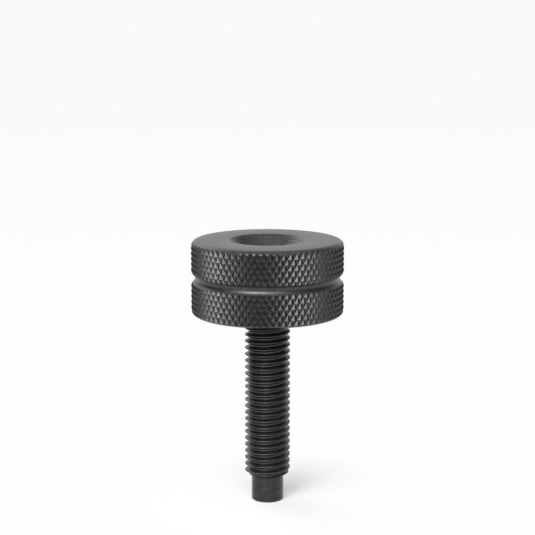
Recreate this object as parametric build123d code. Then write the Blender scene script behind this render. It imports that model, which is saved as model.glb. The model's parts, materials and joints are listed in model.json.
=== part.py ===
from build123d import *
from math import acos, ceil, cos, floor, pi, radians, sin, tan
import os

# Threaded handwheel: a knurled wheel and its spindle, turned from one bar.
# Millimetres. The origin is the centre of the spindle's end face, and +Z runs up the axis to the wheel.

# wheel
wheel_dia = 39.8            # over the tips of the knurl
wheel_height = 19.6
top_radius = 1.65           # rounding around the top face, made of three flats
top_flat_below = 1.35       # from the top face down to the rim end of its first flat
bottom_radius = 1.5         # rounding around the underside, made of three flats
bottom_flat_above = 1.2     # from the underside up to the rim end of its first flat

# finger groove around the wheel, a V with a rounded root
groove_below_top = 9.9      # from the top face down to the middle of the groove
groove_opening = 3.2        # across the V at the rim
groove_angle = 90.0         # included angle of the V
groove_root_radius = 1.38

# diamond knurl
knurl_starts = 72           # grooves of each hand around the wheel
knurl_helix = 31.4          # degrees from the axis
knurl_depth = 0.5
knurl_tip_below_top = 2.12  # first full row of tips
knurl_tip_turn = 2.5        # degrees from +X to a tip of that row

# spindle, plain at the outer diameter of its M12 x 1.75 thread
spindle_length = 50.3       # from the wheel's underside to the end of the dog point
thread_dia = 11.9
thread_end_angle = 30.0     # the thread's end chamfer, degrees from a flat end
dog_dia = 8.4
dog_length = 6.7
dog_edge_break = 0.3

# conical recess in the wheel's top
recess_dia = 19.8           # at the top face
recess_angle = 90.0         # included angle of the cone
recess_floor_dia = 6.0      # flat at the bottom of the cone

overlap = 1.0               # by how much solids run into each other before they are joined or cut
edge_clearance = 0.03       # from the knurl's root circle in to the end of an edge's first flat

wheel_radius = wheel_dia / 2
wheel_bottom = spindle_length
wheel_top = wheel_bottom + wheel_height
groove_middle = wheel_top - groove_below_top


def turned(lines):
    """Solid of revolution from a closed half section, drawn as radius and height."""
    section = make_face(Curve() + lines)
    return revolve(Plane.XZ * section, Axis.Z)


def edge(face, radius, flat_end, up):
    """Corners of a rounded edge from the rim to a face: one flat across the knurl, then two inside it."""
    centre = wheel_radius - radius
    start = acos((radius - knurl_depth - edge_clearance) / radius)
    corners = [(wheel_radius, face - up * flat_end)]
    for turn in (start, (start + pi / 2) / 2, pi / 2):
        corners.append((centre + radius * cos(turn), face - up * radius * (1 - sin(turn))))
    return corners


def wheel_blank():
    """The wheel before knurling: rounded edges and the groove around its middle."""
    half_angle = radians(groove_angle / 2)
    sharp_root = wheel_radius - groove_opening / 2 / tan(half_angle)
    root_centre = sharp_root + groove_root_radius / sin(half_angle)
    blend_radius = root_centre - groove_root_radius * sin(half_angle)
    blend_rise = groove_root_radius * cos(half_angle)
    half_opening = groove_opening / 2
    bottom_edge = edge(wheel_bottom, bottom_radius, bottom_flat_above, -1)
    return turned([
        Polyline(
            (wheel_radius, groove_middle + half_opening),
            *edge(wheel_top, top_radius, top_flat_below, 1),
            (0, wheel_top),
            (0, wheel_bottom),
            *reversed(bottom_edge),
            (wheel_radius, groove_middle - half_opening),
            (blend_radius, groove_middle - blend_rise),
        ),
        ThreePointArc(
            (blend_radius, groove_middle - blend_rise),
            (root_centre - groove_root_radius, groove_middle),
            (blend_radius, groove_middle + blend_rise),
        ),
        Line((blend_radius, groove_middle + blend_rise), (wheel_radius, groove_middle + half_opening)),
    ])


def knurled_bar():
    """Bar with a rim of four-sided points, where V grooves of both hands cross; taller than the wheel."""
    root = wheel_radius - knurl_depth
    half_pitch = pi / knurl_starts
    half_row = (wheel_radius - knurl_depth / 2) * half_pitch / tan(radians(knurl_helix))
    first_tip = wheel_top - knurl_tip_below_top
    lowest = floor((wheel_bottom - first_tip) / half_row) - 1
    highest = ceil((wheel_top - first_tip) / half_row) + 1

    def node(row, column):
        """Corner of the pattern: a tip where row and column are both odd or both even, else a crossing."""
        radius = root if (row + column) % 2 else wheel_radius
        angle = radians(knurl_tip_turn) + column * half_pitch
        return Vector(radius * cos(angle), radius * sin(angle), first_tip + row * half_row)

    facets = []
    for row in range(lowest, highest):
        for column in range(2 * knurl_starts):
            low_left = node(row, column)
            low_right = node(row, column + 1)
            high_left = node(row + 1, column)
            high_right = node(row + 1, column + 1)
            if (row + column) % 2:
                facets.append((low_left, low_right, high_right))
                facets.append((low_left, high_right, high_left))
            else:
                facets.append((low_left, low_right, high_left))
                facets.append((low_right, high_right, high_left))
    for row in (lowest, highest):
        facets.append([node(row, column) for column in range(2 * knurl_starts)])
    return Solid(Shell([Face(Wire.make_polygon(corners)) for corners in facets]))


def spindle():
    """Shank at the thread's outer diameter, its chamfered end and the plain dog point."""
    shank = thread_dia / 2
    dog = dog_dia / 2
    chamfer = (shank - dog) * tan(radians(thread_end_angle))
    return turned([Polyline(
        (0, 0),
        (dog - dog_edge_break, 0),
        (dog, dog_edge_break),
        (dog, dog_length),
        (shank, dog_length + chamfer),
        (shank, wheel_bottom + overlap),
        (0, wheel_bottom + overlap),
        close=True,
    )])


def recess():
    """What the recess takes out of the wheel's top: a cone that ends in a small flat."""
    mouth = recess_dia / 2
    floor_radius = recess_floor_dia / 2
    slope = tan(radians(recess_angle / 2))
    floor_height = wheel_top - (mouth - floor_radius) / slope
    return turned([Polyline(
        (0, floor_height),
        (floor_radius, floor_height),
        (mouth + overlap * slope, wheel_top + overlap),
        (0, wheel_top + overlap),
        close=True,
    )])


handwheel = (wheel_blank() & knurled_bar()) + spindle() - recess()

os.makedirs("parts", exist_ok=True)
export_step(handwheel, "parts/handwheel.step")
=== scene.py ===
import json
from math import ceil, cos, floor, pi, radians, sin, tan

import bpy
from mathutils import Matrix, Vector


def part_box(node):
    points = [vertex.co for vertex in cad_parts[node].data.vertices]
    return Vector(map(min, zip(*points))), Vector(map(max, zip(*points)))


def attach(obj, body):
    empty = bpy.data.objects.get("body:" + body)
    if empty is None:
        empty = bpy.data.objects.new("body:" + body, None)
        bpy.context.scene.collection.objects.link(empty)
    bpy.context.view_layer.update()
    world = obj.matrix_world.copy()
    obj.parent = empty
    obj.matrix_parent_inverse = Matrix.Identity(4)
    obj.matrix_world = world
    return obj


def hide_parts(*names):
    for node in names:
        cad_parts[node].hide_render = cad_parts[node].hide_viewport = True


bl_info = {
    "name": "Threaded Handwheel",
    "version": (1, 0, 0),
    "blender": (4, 5, 0),
    "location": "3D View > Sidebar > Handwheel",
    "description": "Knurled handwheel on a threaded spindle, with its finish, a floor, lamps and a camera",
    "category": "Add Mesh",
}

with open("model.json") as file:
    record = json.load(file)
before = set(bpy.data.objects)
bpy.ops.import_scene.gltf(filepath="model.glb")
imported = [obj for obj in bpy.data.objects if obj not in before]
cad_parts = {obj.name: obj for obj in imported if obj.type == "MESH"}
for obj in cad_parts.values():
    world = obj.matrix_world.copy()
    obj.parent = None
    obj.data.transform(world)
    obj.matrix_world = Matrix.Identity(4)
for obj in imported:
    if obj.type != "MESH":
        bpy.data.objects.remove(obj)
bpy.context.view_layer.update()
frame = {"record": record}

MM = 0.001
PIECE = "handwheel_body"


def mount(name):
    """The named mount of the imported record."""
    return next(m for m in frame["record"]["mounts"] if m["name"] == name)


def mount_radius(name):
    """Radius of a round mount, in metres."""
    return mount(name)["dims"]["r_mm"] * MM


top_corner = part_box("handwheel")[1]
RIM_RADIUS = top_corner.x
WHEEL_TOP = top_corner.z
WHEEL_BOTTOM = mount("wheel_underside")["pos_m"][2]

WHEEL_SEGMENTS = 300
SPINDLE_SEGMENTS = 96
OVERLAP = 1 * MM            # how far the spindle runs up into the wheel
TRIM_CLEARANCE = 0.1 * MM   # from the thread's crests out to the outline that trims the rod
DOG_EDGE_BREAK = 0.25 * MM
RECESS_FLOOR_ROUNDING = 0.3 * MM
RINGS_BELOW_MOUTH = 0.2 * MM    # from the mouth's rounding down the cone to the first tool ring
RINGS_ABOVE_FLOOR = 0.5 * MM    # left plain at the bottom of the cone

TURNED, KNURLED, THREADED, POINT = range(4)
FINISHES = {                # turning marks of each finish: rings a metre and their height
    "turned_face": (4000, 0.004 * MM),
    "knurled_face": (4000, 0.001 * MM),
    "threaded_face": (4000, 0.002 * MM),
    "point_face": (2200, 0.7 * MM),
}
ROUGHNESS_SPREAD = 0.15     # how far the oxide's mottling moves the roughness

FLOOR_REACH = 4.0
SHADOW_FADE = (0.007, 0.045)    # from the axis, where the floor's shadow fades out
NEAR_WHITE = 0.988          # the floor beyond its shadow
FAR_WHITE = 0.955           # the backdrop, and the floor where it meets it
WHITE_FADE = (0.1, 1.2)     # from the axis, where the floor goes from one white to the other
GLOW_COLOUR = (0.96, 0.975, 1, 1)

LAMP_DISTANCE = 0.9
LAMPS = {                   # degrees round to the right of the camera, degrees up, width and depth, colour
    "key": (-22, 38, (0.32, 0.32), (1, 1, 1)),
    "wide": (-18, 36, (1.1, 0.6), (1, 1, 1)),
    "low": (-24, 14, (0.5, 0.3), (1, 1, 1)),
    "fill": (25, 30, (0.5, 0.5), (1, 1, 1)),
    "rim": (-138, 38, (0.6, 0.5), (0.86, 0.93, 1)),
}


# ---------------------------------------------------------------- settings


class HandwheelWheel(bpy.types.PropertyGroup):
    top_radius: bpy.props.FloatProperty(
        name="Top radius", description="Rounding around the top face",
        default=1.65 * MM, unit="LENGTH", precision=5)
    bottom_radius: bpy.props.FloatProperty(
        name="Bottom radius", description="Rounding around the underside",
        default=1.5 * MM, unit="LENGTH", precision=5)
    groove_below_top: bpy.props.FloatProperty(
        name="Groove below top", description="From the top face down to the middle of the finger groove",
        default=9.9 * MM, unit="LENGTH", precision=5)
    groove_opening: bpy.props.FloatProperty(
        name="Groove opening", description="Width of the finger groove at the rim",
        default=3.2 * MM, unit="LENGTH", precision=5)
    groove_root_radius: bpy.props.FloatProperty(
        name="Groove root radius", description="Rounding at the bottom of the 90 degree groove",
        default=1.38 * MM, unit="LENGTH", precision=5)


class HandwheelKnurl(bpy.types.PropertyGroup):
    starts: bpy.props.IntProperty(
        name="Starts", description="Knurl grooves of each hand around the wheel", default=72)
    helix: bpy.props.FloatProperty(
        name="Helix", description="Slant of the knurl grooves from the axis",
        default=radians(31.4), subtype="ANGLE")
    depth: bpy.props.FloatProperty(
        name="Depth", description="Depth of the knurl grooves where they cross",
        default=0.5 * MM, unit="LENGTH", precision=5)
    tip_flat: bpy.props.FloatProperty(
        name="Tip flat", description="How far short of sharp the knurl's points stop",
        default=0.04 * MM, unit="LENGTH", precision=5)
    tip_below_top: bpy.props.FloatProperty(
        name="Tip below top", description="From the top face down to the first full row of points",
        default=2.12 * MM, unit="LENGTH", precision=5)
    tip_turn: bpy.props.FloatProperty(
        name="Tip turn", description="Angle from +X to a point of that row",
        default=radians(2.5), subtype="ANGLE")


class HandwheelSpindle(bpy.types.PropertyGroup):
    pitch: bpy.props.FloatProperty(
        name="Pitch", description="Pitch of the spindle's thread", default=1.75 * MM, unit="LENGTH", precision=5)
    core_radius: bpy.props.FloatProperty(
        name="Core radius", description="Radius at the root of the spindle's thread",
        default=4.92 * MM, unit="LENGTH", precision=5)
    crest_at: bpy.props.FloatProperty(
        name="Crest height", description="Height of the lowest crest on the +X side, before the end is chamfered",
        default=0.19 * MM, unit="LENGTH", precision=5)
    dog_length: bpy.props.FloatProperty(
        name="Dog length", description="Length of the plain dog point", default=6.7 * MM, unit="LENGTH", precision=5)
    end_angle: bpy.props.FloatProperty(
        name="End angle", description="Chamfer on the thread's end, from a flat end",
        default=radians(30), subtype="ANGLE")


class HandwheelRecess(bpy.types.PropertyGroup):
    mouth_radius: bpy.props.FloatProperty(
        name="Mouth radius", description="Radius of the conical recess at the top face",
        default=9.9 * MM, unit="LENGTH", precision=5)
    mouth_rounding: bpy.props.FloatProperty(
        name="Mouth rounding", description="Rounding between the recess and the top face",
        default=0.5 * MM, unit="LENGTH", precision=5)
    ring_pitch: bpy.props.FloatProperty(
        name="Ring pitch", description="Spacing of the rings that the tool leaves down the recess",
        default=1.05 * MM, unit="LENGTH", precision=5)
    ring_height: bpy.props.FloatProperty(
        name="Ring height", description="How far the rings rise above the cone and dip below it",
        default=0.032 * MM, unit="LENGTH", precision=5)
    floor_radius: bpy.props.FloatProperty(
        name="Floor radius", description="Radius of the flat at the bottom of the recess",
        default=3 * MM, unit="LENGTH", precision=5)
    angle: bpy.props.FloatProperty(
        name="Angle", description="Included angle of the recess", default=radians(90), subtype="ANGLE")


class HandwheelFinish(bpy.types.PropertyGroup):
    steel: bpy.props.FloatVectorProperty(
        name="Steel", description="Colour of the blackened steel", subtype="COLOR",
        size=4, min=0, max=1, default=(0.074, 0.074, 0.074, 1))
    roughness: bpy.props.FloatProperty(
        name="Roughness", description="Roughness of the steel", default=0.36, min=0, max=1)
    # Painted shade: the dog point's steel is drawn darker than the rest to stand in for the dim floor that it
    # reflects.
    point_shaded_steel: bpy.props.FloatVectorProperty(
        name="Point steel", description="Colour of the dog point, which the oxide leaves darker", subtype="COLOR",
        size=4, min=0, max=1, default=(0.058, 0.058, 0.058, 1))
    point_roughness: bpy.props.FloatProperty(
        name="Point roughness", description="Roughness of the dog point", default=0.26, min=0, max=1)


class HandwheelStage(bpy.types.PropertyGroup):
    floor: bpy.props.FloatVectorProperty(
        name="Floor", description="Colour of the floor round the object, to the eye", subtype="COLOR",
        size=4, min=0, max=1, default=(0.8, 0.8, 0.8, 1))
    floor_glow: bpy.props.FloatProperty(
        name="Floor glow", description="How bright the floor stays in a full shadow", default=0.265, min=0, max=1)
    floor_bounce: bpy.props.FloatVectorProperty(
        name="Floor bounce", description="Colour of the floor in the light that it returns to the object",
        subtype="COLOR", size=4, min=0, max=1, default=(0.53, 0.53, 0.53, 1))
    key_power: bpy.props.FloatProperty(
        name="Key lamp", description="Power of the small lamp in front on the left", default=2.7, min=0, unit="POWER")
    wide_power: bpy.props.FloatProperty(
        name="Wide lamp", description="Power of the wide lamp in front", default=6.7, min=0, unit="POWER")
    low_power: bpy.props.FloatProperty(
        name="Low lamp", description="Power of the small low lamp in front on the left",
        default=0.8, min=0, unit="POWER")
    fill_power: bpy.props.FloatProperty(
        name="Fill lamp", description="Power of the lamp in front on the right", default=0.35, min=0, unit="POWER")
    rim_power: bpy.props.FloatProperty(
        name="Rim lamp", description="Power of the lamp behind on the left", default=1.5, min=0, unit="POWER")
    world_strength: bpy.props.FloatProperty(
        name="World strength", description="Strength of the plain light from all round", default=0.24, min=0)
    camera_distance: bpy.props.FloatProperty(
        name="Camera distance", description="From the axis to the camera, level", default=0.3919, unit="LENGTH")
    camera_rise: bpy.props.FloatProperty(
        name="Camera rise", description="Height of the camera above the wheel's top", default=0.0618, unit="LENGTH")
    camera_tilt: bpy.props.FloatProperty(
        name="Camera tilt", description="How far the camera looks down", default=radians(10.01), subtype="ANGLE")
    lens: bpy.props.FloatProperty(name="Lens", description="Focal length in millimetres", default=102.9)


# ---------------------------------------------------------------- shapes


def rounded(corners, step=radians(15)):
    """Outline through (radius, height, rounding) corners, with each rounding as an arc."""
    points = [Vector((r, z)) for r, z, _ in corners]
    outline = []
    for i, (_, _, rounding) in enumerate(corners):
        here = points[i]
        if not rounding:
            outline.append(here)
            continue
        back = (points[i - 1] - here).normalized()
        ahead = (points[i + 1] - here).normalized()
        half = back.angle(ahead) / 2
        centre = here + (back + ahead).normalized() * rounding / sin(half)
        start = here + back * rounding / tan(half) - centre
        end = here + ahead * rounding / tan(half) - centre
        steps = max(2, ceil((pi - 2 * half) / step))
        outline += [centre + start.slerp(end, k / steps) * rounding for k in range(steps + 1)]
    return outline


def new_part(name, points, faces, finish):
    """Mesh object from points and faces, with one finish all over."""
    mesh = bpy.data.meshes.new(name)
    mesh.from_pydata(points, [], faces)
    for label in FINISHES:
        mesh.materials.append(bpy.data.materials[label])
    mesh.polygons.foreach_set("material_index", [finish] * len(mesh.polygons))
    part = bpy.data.objects.new(name, mesh)
    bpy.context.scene.collection.objects.link(part)
    return part


def turned(name, outline, segments, finish):
    """Solid of revolution from an outline that starts and ends on the axis, lowest point first."""
    points = [(0, 0, outline[0].y)]
    for radius, height in outline[1:-1]:
        points += [
            (radius * cos(2 * pi * k / segments), radius * sin(2 * pi * k / segments), height)
            for k in range(segments)
        ]
    points.append((0, 0, outline[-1].y))
    rings = len(outline) - 2
    faces = []
    for k in range(segments):
        after = (k + 1) % segments
        faces.append((0, 1 + after, 1 + k))
        for ring in range(rings - 1):
            low = 1 + ring * segments
            faces.append((low + k, low + after, low + segments + after, low + segments + k))
        last = 1 + (rings - 1) * segments
        faces.append((last + k, last + after, len(points) - 1))
    return new_part(name, points, faces, finish)


def knurled_bar(wheel, knurl):
    """Bar with a rim of four-sided points, where grooves of both hands cross; taller than the wheel."""
    root = RIM_RADIUS - knurl.depth
    tip = RIM_RADIUS + knurl.tip_flat
    columns = 2 * knurl.starts
    half_pitch = pi / knurl.starts
    half_row = (RIM_RADIUS - knurl.depth / 2) * half_pitch / tan(knurl.helix)
    first_tip = WHEEL_TOP - knurl.tip_below_top
    bottom = floor((WHEEL_BOTTOM - first_tip) / half_row) - 1
    top = ceil((WHEEL_TOP - first_tip) / half_row) + 1
    points = []
    for row in range(bottom, top + 1):
        for column in range(columns):
            radius = root if (row + column) % 2 else tip
            angle = knurl.tip_turn + column * half_pitch
            points.append((radius * cos(angle), radius * sin(angle), first_tip + row * half_row))
    faces = []
    for level, row in enumerate(range(bottom, top)):
        for column in range(columns):
            low_left = level * columns + column
            low_right = level * columns + (column + 1) % columns
            high_left = low_left + columns
            high_right = low_right + columns
            if (row + column) % 2:
                faces += [(low_left, low_right, high_right), (low_left, high_right, high_left)]
            else:
                faces += [(low_left, low_right, high_left), (low_right, high_right, high_left)]
    for ring, height in ((0, bottom), (top - bottom, top)):
        centre = len(points)
        points.append((0, 0, first_tip + height * half_row))
        for column in range(columns):
            edge = (ring * columns + column, ring * columns + (column + 1) % columns)
            faces.append((centre, *edge) if ring else (centre, *reversed(edge)))
    return new_part("knurled_bar", points, faces, KNURLED)


def thread_section(core, crest, pitch):
    """One pitch of a 60 degree thread, from the middle of one root to just short of the next."""
    flank = (crest - core) * tan(radians(30))
    flat = pitch / 8
    root = pitch - flat - 2 * flank
    rise = root / 2
    section = rounded([
        (core, 0, 0),
        (core, rise, root / 3),
        (crest, rise + flank, flat / 2),
        (crest, rise + flank + flat, flat / 2),
        (core, rise + 2 * flank + flat, root / 3),
        (core, pitch, 0),
    ], step=radians(30))
    return section[:-1]


def threaded_rod(name, core, crest, pitch, crest_at, bottom, top, segments):
    """Right-hand threaded rod, longer than asked at both ends, to be cut to length."""
    section = thread_section(core, crest, pitch)
    first_turn = floor((bottom - crest_at) / pitch) - 1
    turns = ceil((top - crest_at) / pitch) + 1 - first_turn
    start = crest_at + (first_turn - 0.5) * pitch
    points = []
    for step in range(turns * segments + 1):
        angle = 2 * pi * step / segments
        for radius, rise in section:
            points.append((radius * cos(angle), radius * sin(angle), start + pitch * step / segments + rise))
    width = len(section)

    def point(step, place):
        """Index of a point of the section, where the place past the last is the first of the next turn."""
        return (step + segments) * width if place == width else step * width + place

    faces = []
    for step in range((turns - 1) * segments):
        for place in range(width):
            faces.append((
                point(step, place), point(step + 1, place), point(step + 1, place + 1), point(step, place + 1)))
    last = (turns - 1) * segments
    for step, middle in ((0, start - pitch), (last, start + (turns + 1) * pitch)):
        centre = len(points)
        points.append((0, 0, middle))
        ring = [point(step + k, 0) for k in range(segments + 1)]
        ring += [point(step, place) for place in range(width - 1, 0, -1)]
        for k, corner in enumerate(ring):
            after = ring[(k + 1) % len(ring)]
            faces.append((centre, corner, after) if step else (centre, after, corner))
    return new_part(name, points, faces, THREADED)


def combine(part, tool, operation):
    """Joins, cuts or trims a part with a tool, and removes the tool."""
    cut = part.modifiers.new("cut", "BOOLEAN")
    cut.operation = operation
    cut.solver = "MANIFOLD"
    cut.object = tool
    shaped = bpy.data.meshes.new_from_object(part.evaluated_get(bpy.context.evaluated_depsgraph_get()))
    part.modifiers.clear()
    part.data = shaped
    bpy.data.objects.remove(tool)
    return part


def recess_wall(recess, floor_height):
    """Corners down the cone of the recess, with the rings that the tool left, four to a ring."""
    slant = recess.angle / 2
    length = (recess.mouth_radius - recess.floor_radius) / sin(slant)
    start = recess.mouth_rounding + RINGS_BELOW_MOUTH
    rings = floor((length - start - RINGS_ABOVE_FLOOR) / recess.ring_pitch)
    corners = []
    for k in range(4 * rings):
        down = start + k * recess.ring_pitch / 4
        rise = recess.ring_height * sin(pi / 2 * k)
        corners.append((
            recess.mouth_radius - down * sin(slant) - rise * cos(slant),
            WHEEL_TOP - down * cos(slant) + rise * sin(slant), 0))
    return [*corners, (recess.floor_radius, floor_height, RECESS_FLOOR_ROUNDING), (0, floor_height, 0)]


def wheel_blank(wheel, recess):
    """The wheel before knurling: rounded edges, the finger groove and the conical recess in its top."""
    middle = WHEEL_TOP - wheel.groove_below_top
    half = wheel.groove_opening / 2
    recess_floor = WHEEL_TOP - (recess.mouth_radius - recess.floor_radius) / tan(recess.angle / 2)
    return turned("wheel_blank", rounded([
        (0, WHEEL_BOTTOM, 0),
        (RIM_RADIUS, WHEEL_BOTTOM, wheel.bottom_radius),
        (RIM_RADIUS, middle - half, 0),
        (RIM_RADIUS - half, middle, wheel.groove_root_radius),
        (RIM_RADIUS, middle + half, 0),
        (RIM_RADIUS, WHEEL_TOP, wheel.top_radius),
        (recess.mouth_radius, WHEEL_TOP, recess.mouth_rounding),
        *recess_wall(recess, recess_floor),
    ]), WHEEL_SEGMENTS, TURNED)


def spindle_limits(spindle):
    """Outline that trims the threaded rod: dog point, chamfered thread end and the joint inside the wheel."""
    dog = mount_radius("dog_point")
    outside = mount_radius("spindle_thread") + TRIM_CLEARANCE
    return turned("spindle_limits", rounded([
        (0, 0, 0),
        (dog - DOG_EDGE_BREAK, 0, 0),
        (dog, DOG_EDGE_BREAK, 0),
        (dog, spindle.dog_length, 0),
        (outside, spindle.dog_length + (outside - dog) * tan(spindle.end_angle), 0),
        (outside, WHEEL_BOTTOM + OVERLAP, 0),
        (0, WHEEL_BOTTOM + OVERLAP, 0),
    ]), SPINDLE_SEGMENTS, POINT)


# ---------------------------------------------------------------- finishes


def node(tree, kind, **values):
    """New node with its properties and input values set by name."""
    made = tree.nodes.new(kind)
    for key, value in values.items():
        if key in made.inputs.keys():
            made.inputs[key].default_value = value
        else:
            setattr(made, key, value)
    return made


def ramp(tree, value, low, high, start=0.0, end=1.0, shape="LINEAR"):
    """Maps a value between low and high to one between start and end, and stays there beyond them."""
    made = node(tree, "ShaderNodeMapRange", interpolation_type=shape,
                **{"From Min": low, "From Max": high, "To Min": start, "To Max": end})
    tree.links.new(value, made.inputs["Value"])
    return made.outputs[0]


def mixed(tree, factor, first, second):
    """The first shader where the factor is 0 and the second where it is 1."""
    made = node(tree, "ShaderNodeMixShader")
    tree.links.new(factor, made.inputs["Fac"])
    tree.links.new(first, made.inputs[1])
    tree.links.new(second, made.inputs[2])
    return made.outputs[0]


def new_group(name, inputs, outputs):
    """Shader node group with float or colour sockets, and its input and output nodes."""
    group = bpy.data.node_groups.new(name, "ShaderNodeTree")
    for label, kind in inputs:
        group.interface.new_socket(name=label, in_out="INPUT", socket_type=kind)
    for label, kind in outputs:
        group.interface.new_socket(name=label, in_out="OUTPUT", socket_type=kind)
    return group, group.nodes.new("NodeGroupInput"), group.nodes.new("NodeGroupOutput")


def turning_marks():
    """Group: faint rings that a lathe tool leaves, the same all the way round, as a height."""
    group, given, result = new_group(
        "turning_marks", [("Rings per metre", "NodeSocketFloat")], [("Height", "NodeSocketFloat")])
    link = group.links.new
    place = node(group, "ShaderNodeTexCoord")
    split = node(group, "ShaderNodeSeparateXYZ")
    link(place.outputs["Object"], split.inputs[0])
    flat = node(group, "ShaderNodeCombineXYZ")
    link(split.outputs["X"], flat.inputs["X"])
    link(split.outputs["Y"], flat.inputs["Y"])
    radius = node(group, "ShaderNodeVectorMath", operation="LENGTH")
    link(flat.outputs[0], radius.inputs[0])
    section = node(group, "ShaderNodeCombineXYZ")
    link(radius.outputs["Value"], section.inputs["X"])
    link(split.outputs["Z"], section.inputs["Y"])
    noise = node(group, "ShaderNodeTexNoise", Detail=3.0)
    link(section.outputs[0], noise.inputs["Vector"])
    link(given.outputs["Rings per metre"], noise.inputs["Scale"])
    link(noise.outputs["Fac"], result.inputs["Height"])


def oxide():
    """Group: the faint mottling of a blackened surface, as a colour and a roughness."""
    group, given, result = new_group(
        "oxide",
        [("Steel", "NodeSocketColor"), ("Roughness", "NodeSocketFloat"), ("Spread", "NodeSocketFloat")],
        [("Color", "NodeSocketColor"), ("Roughness", "NodeSocketFloat")])
    link = group.links.new
    place = node(group, "ShaderNodeTexCoord")
    noise = node(group, "ShaderNodeTexNoise", Scale=900.0, Detail=4.0)
    link(place.outputs["Object"], noise.inputs["Vector"])
    tint = node(group, "ShaderNodeVectorMath", operation="SCALE")
    link(given.outputs["Steel"], tint.inputs[0])
    link(ramp(group, noise.outputs["Fac"], 0.3, 0.7, 0.85, 1.15), tint.inputs["Scale"])
    link(tint.outputs[0], result.inputs["Color"])
    offset = node(group, "ShaderNodeMath", operation="MULTIPLY_ADD")
    centred = node(group, "ShaderNodeMath", operation="SUBTRACT")
    centred.inputs[1].default_value = 0.5
    link(noise.outputs["Fac"], centred.inputs[0])
    link(centred.outputs[0], offset.inputs[0])
    link(given.outputs["Spread"], offset.inputs[1])
    link(given.outputs["Roughness"], offset.inputs[2])
    link(offset.outputs[0], result.inputs["Roughness"])


def steel_material(name, colour, roughness, rings_per_metre, ring_height):
    """Blackened steel: oxide mottling over turning marks."""
    material = bpy.data.materials.new(name)
    material.use_nodes = True
    tree = material.node_tree
    link = tree.links.new
    steel = tree.nodes["Principled BSDF"]
    steel.inputs["Metallic"].default_value = 1.0
    skin = node(tree, "ShaderNodeGroup", node_tree=bpy.data.node_groups["oxide"])
    skin.inputs["Steel"].default_value = colour
    skin.inputs["Roughness"].default_value = roughness
    skin.inputs["Spread"].default_value = ROUGHNESS_SPREAD
    link(skin.outputs["Color"], steel.inputs["Base Color"])
    link(skin.outputs["Roughness"], steel.inputs["Roughness"])
    rings = node(tree, "ShaderNodeGroup", node_tree=bpy.data.node_groups["turning_marks"])
    rings.inputs["Rings per metre"].default_value = rings_per_metre
    bump = node(tree, "ShaderNodeBump", Strength=0.3, Distance=ring_height)
    link(rings.outputs["Height"], bump.inputs["Height"])
    link(bump.outputs["Normal"], steel.inputs["Normal"])


# ---------------------------------------------------------------- operators


class HANDWHEEL_OT_body(bpy.types.Operator):
    """Turn, knurl and thread the handwheel, and give it its blackened finish"""
    bl_idname = "handwheel.body"
    bl_label = "Handwheel"

    def execute(self, context):
        scene = context.scene
        wheel, knurl = scene.handwheel_wheel, scene.handwheel_knurl
        spindle, recess, finish = scene.handwheel_spindle, scene.handwheel_recess, scene.handwheel_finish
        turning_marks()
        oxide()
        for label, marks in FINISHES.items():
            if label == "point_face":
                # the dog point takes the darker steel, painted shade for the dim floor that it reflects
                steel_material(label, finish.point_shaded_steel, finish.point_roughness, *marks)
            else:
                steel_material(label, finish.steel, finish.roughness, *marks)
        body = combine(wheel_blank(wheel, recess), knurled_bar(wheel, knurl), "INTERSECT")
        rod = threaded_rod(
            "spindle_rod", spindle.core_radius, mount_radius("spindle_thread"), spindle.pitch,
            spindle.crest_at, 0, WHEEL_BOTTOM, SPINDLE_SEGMENTS)
        combine(rod, spindle_limits(spindle), "INTERSECT")
        combine(body, rod, "UNION")
        body.data.polygons.foreach_set("use_smooth", [True] * len(body.data.polygons))
        body.data.set_sharp_from_angle(angle=radians(24))
        body.name = PIECE
        body.data.name = PIECE
        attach(body, "root")
        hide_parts("handwheel")
        return {"FINISHED"}


class HANDWHEEL_OT_stage(bpy.types.Operator):
    """Set out the floor, the lamps, the world and the camera"""
    bl_idname = "handwheel.stage"
    bl_label = "Stage"

    def execute(self, context):
        stage = context.scene.handwheel_stage
        make_floor(stage)
        make_world(context.scene, stage)
        aim = Vector((0, 0, (WHEEL_TOP + WHEEL_BOTTOM) / 2))
        for label, (turn, rise, size, colour) in LAMPS.items():
            softbox(label + "_lamp", aim, radians(turn), radians(rise), size, getattr(stage, label + "_power"), colour)
        make_camera(context.scene, stage)
        context.scene.view_settings.view_transform = "Standard"
        return {"FINISHED"}


def background_rays(tree, part=None):
    """1 for camera and transmitted rays; for glossy rays 1, or the part of the surroundings that is background."""
    path = node(tree, "ShaderNodeLightPath")
    glossy = path.outputs["Is Glossy Ray"]
    if part:
        shown = node(tree, "ShaderNodeMath", operation="MULTIPLY")
        tree.links.new(glossy, shown.inputs[0])
        tree.links.new(part, shown.inputs[1])
        glossy = shown.outputs[0]
    for other in (path.outputs["Is Camera Ray"], path.outputs["Is Transmission Ray"]):
        either = node(tree, "ShaderNodeMath", operation="MAXIMUM")
        tree.links.new(glossy, either.inputs[0])
        tree.links.new(other, either.inputs[1])
        glossy = either.outputs[0]
    return glossy


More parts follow.
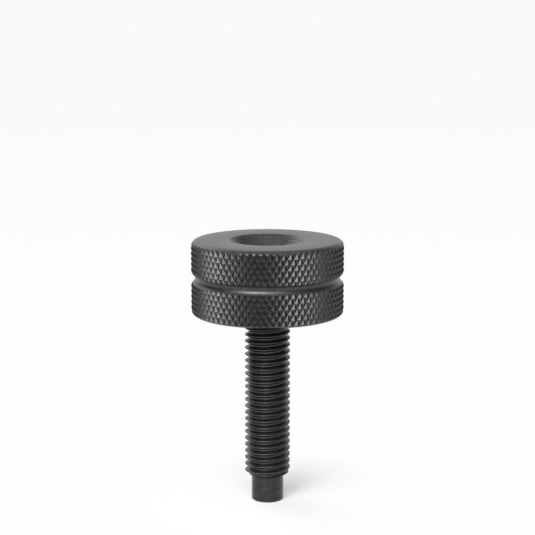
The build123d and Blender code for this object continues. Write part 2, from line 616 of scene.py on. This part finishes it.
def make_floor(stage):
    """Pale round floor: shadowed near the object, plain white further out, clear from below."""
    mesh = bpy.data.meshes.new("floor")
    turns = [2 * pi * k / 96 for k in range(96)]
    rim = [(FLOOR_REACH * cos(turn), FLOOR_REACH * sin(turn), 0) for turn in turns]
    mesh.from_pydata(rim, [], [tuple(range(len(rim)))])
    material = bpy.data.materials.new("floor")
    material.use_nodes = True
    tree = material.node_tree
    link = tree.links.new
    tree.nodes.remove(tree.nodes["Principled BSDF"])
    place = node(tree, "ShaderNodeTexCoord")
    away = node(tree, "ShaderNodeVectorMath", operation="LENGTH")
    link(place.outputs["Object"], away.inputs[0])
    lit = node(tree, "ShaderNodeBsdfDiffuse", Color=stage.floor)
    glow = node(tree, "ShaderNodeEmission", Color=GLOW_COLOUR, Strength=stage.floor_glow)
    shadowed = node(tree, "ShaderNodeAddShader")
    link(lit.outputs[0], shadowed.inputs[0])
    link(glow.outputs[0], shadowed.inputs[1])
    white = node(tree, "ShaderNodeEmission", Color=(1, 1, 1, 1))
    link(ramp(tree, away.outputs["Value"], *WHITE_FADE, NEAR_WHITE, FAR_WHITE), white.inputs["Strength"])
    fade = ramp(tree, away.outputs["Value"], *SHADOW_FADE, 1.0, 0.0, shape="SMOOTHSTEP")
    seen = mixed(tree, fade, white.outputs[0], shadowed.outputs[0])
    bounce = node(tree, "ShaderNodeBsdfDiffuse", Color=stage.floor_bounce)
    top = mixed(tree, background_rays(tree), bounce.outputs[0], seen)
    side = node(tree, "ShaderNodeNewGeometry")
    clear = node(tree, "ShaderNodeBsdfTransparent")
    surface = mixed(tree, side.outputs["Backfacing"], top, clear.outputs[0])
    link(surface, tree.nodes["Material Output"].inputs["Surface"])
    mesh.materials.append(material)
    ground = bpy.data.objects.new("floor", mesh)
    bpy.context.scene.collection.objects.link(ground)


def make_world(scene, stage):
    """White to the eye; in reflections white behind and overhead; a plain grey light in all else."""
    world = bpy.data.worlds.new("studio")
    world.use_nodes = True
    tree = world.node_tree
    link = tree.links.new
    tree.nodes.clear()
    way = node(tree, "ShaderNodeTexCoord")
    split = node(tree, "ShaderNodeSeparateXYZ")
    link(way.outputs["Generated"], split.inputs[0])
    backdrop = node(tree, "ShaderNodeMath", operation="MAXIMUM")
    link(ramp(tree, split.outputs["Y"], 0.3, 0.9, shape="SMOOTHSTEP"), backdrop.inputs[0])
    link(ramp(tree, split.outputs["Z"], 0.5, 0.95, shape="SMOOTHSTEP"), backdrop.inputs[1])
    white = node(tree, "ShaderNodeBackground", Color=(1, 1, 1, 1), Strength=FAR_WHITE)
    soft = node(tree, "ShaderNodeBackground", Color=(1, 1, 1, 1), Strength=stage.world_strength)
    surface = mixed(tree, background_rays(tree, backdrop.outputs[0]), soft.outputs[0], white.outputs[0])
    link(surface, node(tree, "ShaderNodeOutputWorld").inputs["Surface"])
    scene.world = world


def softbox(name, aim, turn, rise, size, power, colour):
    """Rectangular lamp facing the aim point. Turn is from the camera's side, positive to its right."""
    lamp = bpy.data.lights.new(name, "AREA")
    lamp.shape = "RECTANGLE"
    lamp.size, lamp.size_y = size
    lamp.energy = power
    lamp.color = colour
    holder = bpy.data.objects.new(name, lamp)
    way = Vector((sin(turn) * cos(rise), -cos(turn) * cos(rise), sin(rise)))
    holder.location = aim + way * LAMP_DISTANCE
    holder.rotation_euler = way.to_track_quat("Z", "Y").to_euler()
    bpy.context.scene.collection.objects.link(holder)


def make_camera(scene, stage):
    """Camera in front of the object, looking down at it."""
    camera = bpy.data.cameras.new("camera")
    camera.lens = stage.lens
    camera.sensor_width = 36
    holder = bpy.data.objects.new("camera", camera)
    holder.location = (0, -stage.camera_distance, WHEEL_TOP + stage.camera_rise)
    holder.rotation_euler = (pi / 2 - stage.camera_tilt, 0, 0)
    scene.collection.objects.link(holder)
    scene.camera = holder


class HANDWHEEL_PT_panel(bpy.types.Panel):
    """Sizes and colours of the handwheel, and the buttons that make it"""
    bl_idname = "HANDWHEEL_PT_panel"
    bl_label = "Threaded Handwheel"
    bl_space_type = "VIEW_3D"
    bl_region_type = "UI"
    bl_category = "Handwheel"

    def draw(self, context):
        for label, kind in SETTINGS.items():
            box = self.layout.box()
            box.label(text=label.capitalize())
            for entry in kind.__annotations__:
                box.prop(getattr(context.scene, "handwheel_" + label), entry)
        for operator in OPERATORS:
            self.layout.operator(operator.bl_idname)


SETTINGS = {
    "wheel": HandwheelWheel,
    "knurl": HandwheelKnurl,
    "spindle": HandwheelSpindle,
    "recess": HandwheelRecess,
    "finish": HandwheelFinish,
    "stage": HandwheelStage,
}
OPERATORS = (HANDWHEEL_OT_body, HANDWHEEL_OT_stage)


def register():
    for label, kind in SETTINGS.items():
        bpy.utils.register_class(kind)
        setattr(bpy.types.Scene, "handwheel_" + label, bpy.props.PointerProperty(type=kind))
    for kind in (*OPERATORS, HANDWHEEL_PT_panel):
        bpy.utils.register_class(kind)


def unregister():
    for kind in (HANDWHEEL_PT_panel, *reversed(OPERATORS)):
        bpy.utils.unregister_class(kind)
    for label, kind in reversed(SETTINGS.items()):
        delattr(bpy.types.Scene, "handwheel_" + label)
        bpy.utils.unregister_class(kind)


def main():
    register()
    bpy.ops.handwheel.body()
    bpy.ops.handwheel.stage()


if __name__ == "__main__":
    main()
